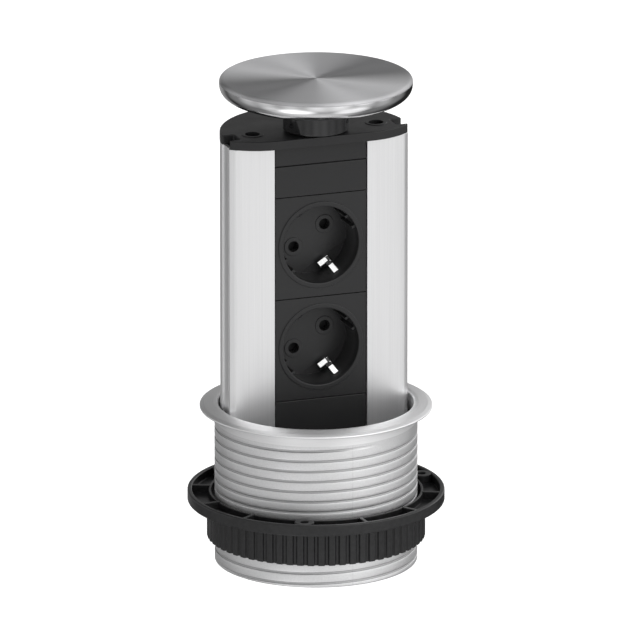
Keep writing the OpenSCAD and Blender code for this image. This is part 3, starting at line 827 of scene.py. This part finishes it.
def make_clamp():
    top, bot = -42.0, -47.7
    ring = lathe(fillet([
        (51.6, bot, 0.3), (63.28, bot, 0.6), (63.28, top, 0.7), (61.0, top, 0.6), (61.0, bot + 1.5, 0.5),
        (52.8, bot + 1.5, 0.4), (52.8, top - 0.8, 0.35), (51.6, top - 0.8, 0.35)], 5), 288)
    adds, cuts = [], []
    for k in range(12):
        a = 4.5 + 30 * k
        if k % 4 == 0:
            boss = lathe(fillet([(0.0, bot + 0.8), (4.8, bot + 0.8), (4.8, top - 0.02, 0.4), (0.0, top - 0.02)], 4)[0:], 48, True)
            adds.append(turned_part(boss, a, (57, 0, 0)))
            hole = lathe([(0.0, bot - 1), (2.1, bot - 1), (2.1, top - 0.35), (2.5, top + 0.05), (2.5, top + 1), (0.0, top + 1)], 48, True)
            cuts.append(turned_part(hole, a, (57, 0, 0)))
        else:
            adds.append(turned_part(block(52.2, 61.8, -0.9, 0.9, bot + 0.7, top - 0.5, 0.3), a))
    cuts.append(turned_part(lathe([(0.0, bot - 1), (1.3, bot - 1), (1.3, bot + 3), (0.0, bot + 3)], 32, True), 179, (56.5, 0, 0)))
    ob = combine(solid(ring), solid(joined(adds)), "UNION")
    ob = combine(ob, solid(joined(cuts)), "DIFFERENCE")
    place("clamp_ring_skin", to_bm(ob), "clamp_ring", 40)
    rounded("clamp_nut", 0.0, 2, [(lambda x, y, z: math.hypot(x, y) > 52.0, 0.3, 3)])


make_clamp()

# ---------------------------------------------------------------- tower

rounded("tower_profile", 0.22, 3)
rounded("top_plate", 0.2, 3, [
    (lambda x, y, z: abs(z - 138.45) < 0.3 and math.hypot(x, y) > 38, 1.2, 5),
    (lambda x, y, z: z > 140.5 and math.hypot(x, y) > 12 and math.hypot(abs(x) - 32, y - 2.6) > 5.7, 0.5, 4)])
rounded("bottom_plate", 0.3, 3)
for n in ("cover_strip", "lower_blank"):
    rounded(n, 0.3, 3)
rounded("upper_blank", 0.3, 3, [(lambda x, y, z: z > 125.5 and y < -6.9, 0.7, 5)])
SOCKET = mat_socket()
for n, zc in (("upper_socket", 84.3), ("lower_socket", 32.4)):
    ob = rounded(n, 0.16, 2, [
        (lambda x, y, z, c=zc: y < -7.55 and math.hypot(x, z - c) > 21.5, 0.4, 4),
        (lambda x, y, z, c=zc: y < -7.55 and math.hypot(x, z - c) < 20.5, 0.6, 4),
        (lambda x, y, z, c=zc: -7.1 < y < -6.9 and (abs(x) > 23.4 or abs(z - c) > 25.5), 0.3, 3)])
    ob.data.materials[0] = SOCKET
for n in ("upper_earth_strap", "lower_earth_strap"):
    rounded(n, 0.12, 2)
for n in ("guide_rails", "friction_pads", "upper_contact_block", "lower_contact_block", "terminal_block",
          "cable_gland", "gland_nut", "live_bar", "neutral_bar", "earth_bar"):
    rounded(n, 0.2, 2)

# ---------------------------------------------------------------- the CAD pieces that stay

for n, ob in nodes.items():
    if not ob.hide_render:
        ob.data.materials.clear()
        ob.data.materials.append(MATS[SLOT[n]])

# ---------------------------------------------------------------- floor and light


def make_floor():
    bm = bmesh.new()
    bmesh.ops.create_grid(bm, x_segments=2, y_segments=2, size=30)
    me = bpy.data.meshes.new("floor")
    bm.to_mesh(me)
    bm.free()
    ob = bpy.data.objects.new("floor", me)
    ob.location = (0, 0, -0.30)
    scene.collection.objects.link(ob)
    g = Graph("floor", color=(0.86, 0.86, 0.86), rough=0.9, spec=0.1)
    g.b.inputs["Emission Color"].default_value = (1, 1, 1, 1)
    g.b.inputs["Emission Strength"].default_value = 0.52
    soft = g.noise(g.mm(), 0.002, 2.0)
    me.materials.append(g.use(g.mix(soft, (0.85, 0.85, 0.85), (0.88, 0.88, 0.88))))
    # the soft light from below comes through the floor the same way for every kind of ray
    ob.visible_glossy = False
    ob.visible_shadow = False
    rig.stage(ob)


# Soft lights around the object: (azimuth, elevation, inner and outer half angle, strength).
# Azimuth 0 is towards the camera and grows to the camera's right; 180 is behind the object.
BASE = 0.02
LOBES = [
    # from below, off the pale floor
    (0, -68, 4, 45, 0.5), (90, -68, 4, 45, 0.13), (270, -68, 4, 45, 0.2),
    (51, -40, 4, 24, 0.85), (103, -40, 4, 24, 0.07), (309, -40, 4, 24, 0.45), (334, -40, 4, 24, 1.15),
    # low, all round
    (15, -12, 4, 34, 0.65), (45, -12, 4, 34, 0.46), (75, -12, 4, 34, 0.3), (105, -12, 4, 34, 0.22),
    (195, -12, 4, 34, 0.3), (255, -12, 4, 34, 0.2), (285, -12, 4, 34, 0.36), (315, -12, 4, 34, 0.34),
    (345, -12, 4, 34, 0.4),
    # level, all round
    (0, 14, 4, 30, 0.05), (30, 14, 4, 30, 0.33), (60, 14, 4, 30, 1.2), (90, 14, 4, 30, 1.11),
    (120, 14, 4, 30, 0.84), (150, 14, 4, 30, 0.95), (240, 14, 4, 30, 0.63), (270, 14, 4, 30, 0.62),
    (300, 14, 4, 30, 0.2), (330, 14, 4, 30, 0.15),
    # above
    (0, 42, 4, 36, 0.27), (40, 42, 4, 36, 1.79), (80, 42, 4, 36, 0.47), (120, 42, 4, 36, 0.6),
    (160, 42, 4, 36, 0.03), (280, 42, 4, 36, 0.09), (320, 42, 4, 36, 0.29), (0, 66, 4, 38, 0.28),
    (60, 66, 4, 38, 0.2), (300, 66, 4, 38, 0.72),
    # small ones straight behind
    (195, 4, 2, 16, 0.22), (180, 24, 2, 16, 0.4),
]


def make_world():
    w = bpy.data.worlds.new("studio")
    scene.world = w
    w.use_nodes = True
    nt = w.node_tree
    nt.nodes.clear()
    out = nt.nodes.new("ShaderNodeOutputWorld")
    mixer = nt.nodes.new("ShaderNodeMixShader")
    path = nt.nodes.new("ShaderNodeLightPath")
    plain = nt.nodes.new("ShaderNodeBackground")
    plain.inputs[0].default_value = (1, 1, 1, 1)
    plain.inputs[1].default_value = 1.0
    room = nt.nodes.new("ShaderNodeBackground")
    room.inputs[0].default_value = (1, 1, 1, 1)
    tc = nt.nodes.new("ShaderNodeTexCoord")
    total = None
    a0 = math.radians(-90 - AZ)          # world angle of the direction towards the camera
    for k, (az, el, inner, outer, power) in enumerate(LOBES):
        a, e = a0 + math.radians(az), math.radians(el)
        dot = nt.nodes.new("ShaderNodeVectorMath")
        dot.operation = "DOT_PRODUCT"
        nt.links.new(tc.outputs["Generated"], dot.inputs[0])
        dot.inputs[1].default_value = (math.cos(a) * math.cos(e), math.sin(a) * math.cos(e), math.sin(e))
        m = nt.nodes.new("ShaderNodeMapRange")
        m.interpolation_type = "SMOOTHSTEP"
        nt.links.new(dot.outputs["Value"], m.inputs[0])
        m.inputs[1].default_value = math.cos(math.radians(outer))
        m.inputs[2].default_value = math.cos(math.radians(inner))
        m.inputs[3].default_value = 0
        m.inputs[4].default_value = power
        m.name = "lobe_%02d" % k
        if total is None:
            total = m.outputs[0]
        else:
            s = nt.nodes.new("ShaderNodeMath")
            s.operation = "ADD"
            nt.links.new(total, s.inputs[0])
            nt.links.new(m.outputs[0], s.inputs[1])
            total = s.outputs[0]
    s = nt.nodes.new("ShaderNodeMath")
    s.operation = "ADD"
    s.name = "base"
    nt.links.new(total, s.inputs[0])
    s.inputs[1].default_value = BASE
    top = nt.nodes.new("ShaderNodeMath")
    top.operation = "MAXIMUM"
    nt.links.new(s.outputs[0], top.inputs[0])
    top.inputs[1].default_value = 0.0
    nt.links.new(top.outputs[0], room.inputs[1])
    nt.links.new(path.outputs["Is Camera Ray"], mixer.inputs[0])
    nt.links.new(room.outputs[0], mixer.inputs[1])
    nt.links.new(plain.outputs[0], mixer.inputs[2])
    nt.links.new(mixer.outputs[0], out.inputs[0])


make_floor()
make_world()

scene.view_settings.view_transform = "Standard"
scene.view_settings.look = "None"
scene.view_settings.exposure = 0
scene.view_settings.gamma = 1

vis_lo, vis_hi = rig.bounds()
with open("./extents.json", "w") as f:
    json.dump({"cad": [list(cad_lo), list(cad_hi)], "visual": [list(vis_lo), list(vis_hi)]}, f, indent=1)
